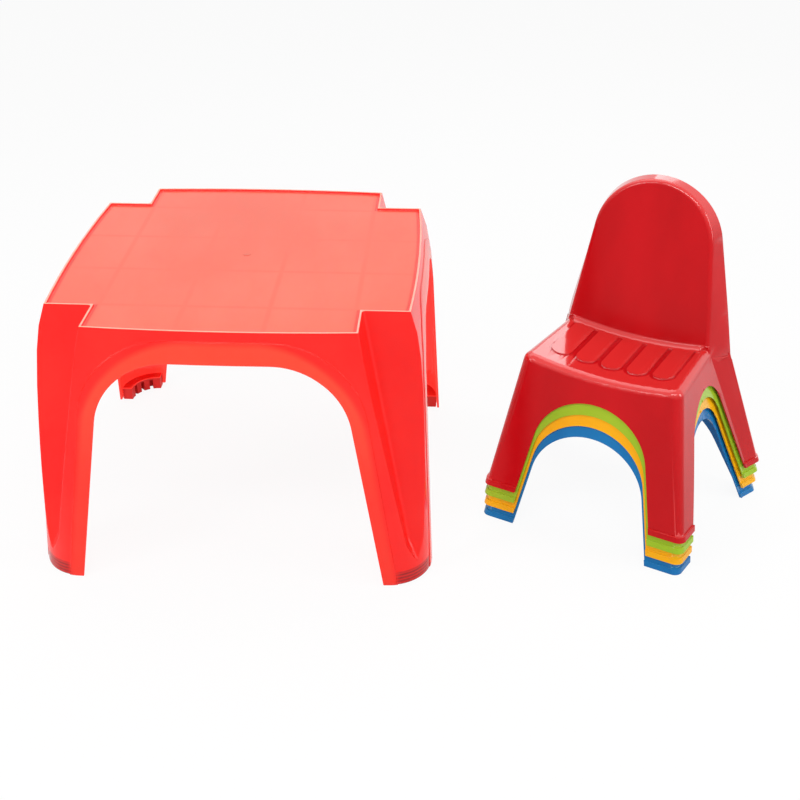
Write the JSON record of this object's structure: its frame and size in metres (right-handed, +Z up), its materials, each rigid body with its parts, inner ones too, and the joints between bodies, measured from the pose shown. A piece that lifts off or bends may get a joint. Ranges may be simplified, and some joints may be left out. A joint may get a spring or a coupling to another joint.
{
  "type": "kids table and chairs",
  "caption": "Moulded plastic children's table with arched sides and fluted legs, beside a stack of nesting chairs that lift off.",
  "frame": {"origin": "on the floor, under the middle of the whole set's bounding box", "axes": "+X to the right of the set as seen from the front, from the table towards the stack of chairs; +Y to the rear; +Z up; the front is -Y"},
  "size_m": [1.247, 0.659, 0.584],
  "materials": {
    "coral": "glossy, slightly translucent moulded plastic",
    "plug": "satin moulded plastic",
    "red": "glossy opaque moulded plastic",
    "green": "glossy opaque moulded plastic",
    "yellow": "glossy opaque moulded plastic",
    "blue": "glossy opaque moulded plastic"
  },
  "bodies": {
    "table": {"table_shell": "coral", "foot_plug_front_left": "plug", "foot_plug_front_right": "plug", "foot_plug_rear_left": "plug", "foot_plug_rear_right": "plug"},
    "chair_blue": {"chair_blue": "blue"},
    "chair_yellow": {"chair_yellow": "yellow"},
    "chair_green": {"chair_green": "green"},
    "chair_red": {"chair_red": "red"}
  },
  "joints": [
    {"name": "chair_blue_lift", "type": "slide", "parent": "table", "child": "chair_blue", "axis": [0, 0, 1], "range_m": [0, 0.54]},
    {"name": "chair_yellow_lift", "type": "slide", "parent": "chair_blue", "child": "chair_yellow", "axis": [0, 0, 1], "range_m": [0, 0.54]},
    {"name": "chair_green_lift", "type": "slide", "parent": "chair_yellow", "child": "chair_green", "axis": [0, 0, 1], "range_m": [0, 0.54]},
    {"name": "chair_red_lift", "type": "slide", "parent": "chair_green", "child": "chair_red", "axis": [0, 0, 1], "range_m": [0, 0.54]}
  ]
}
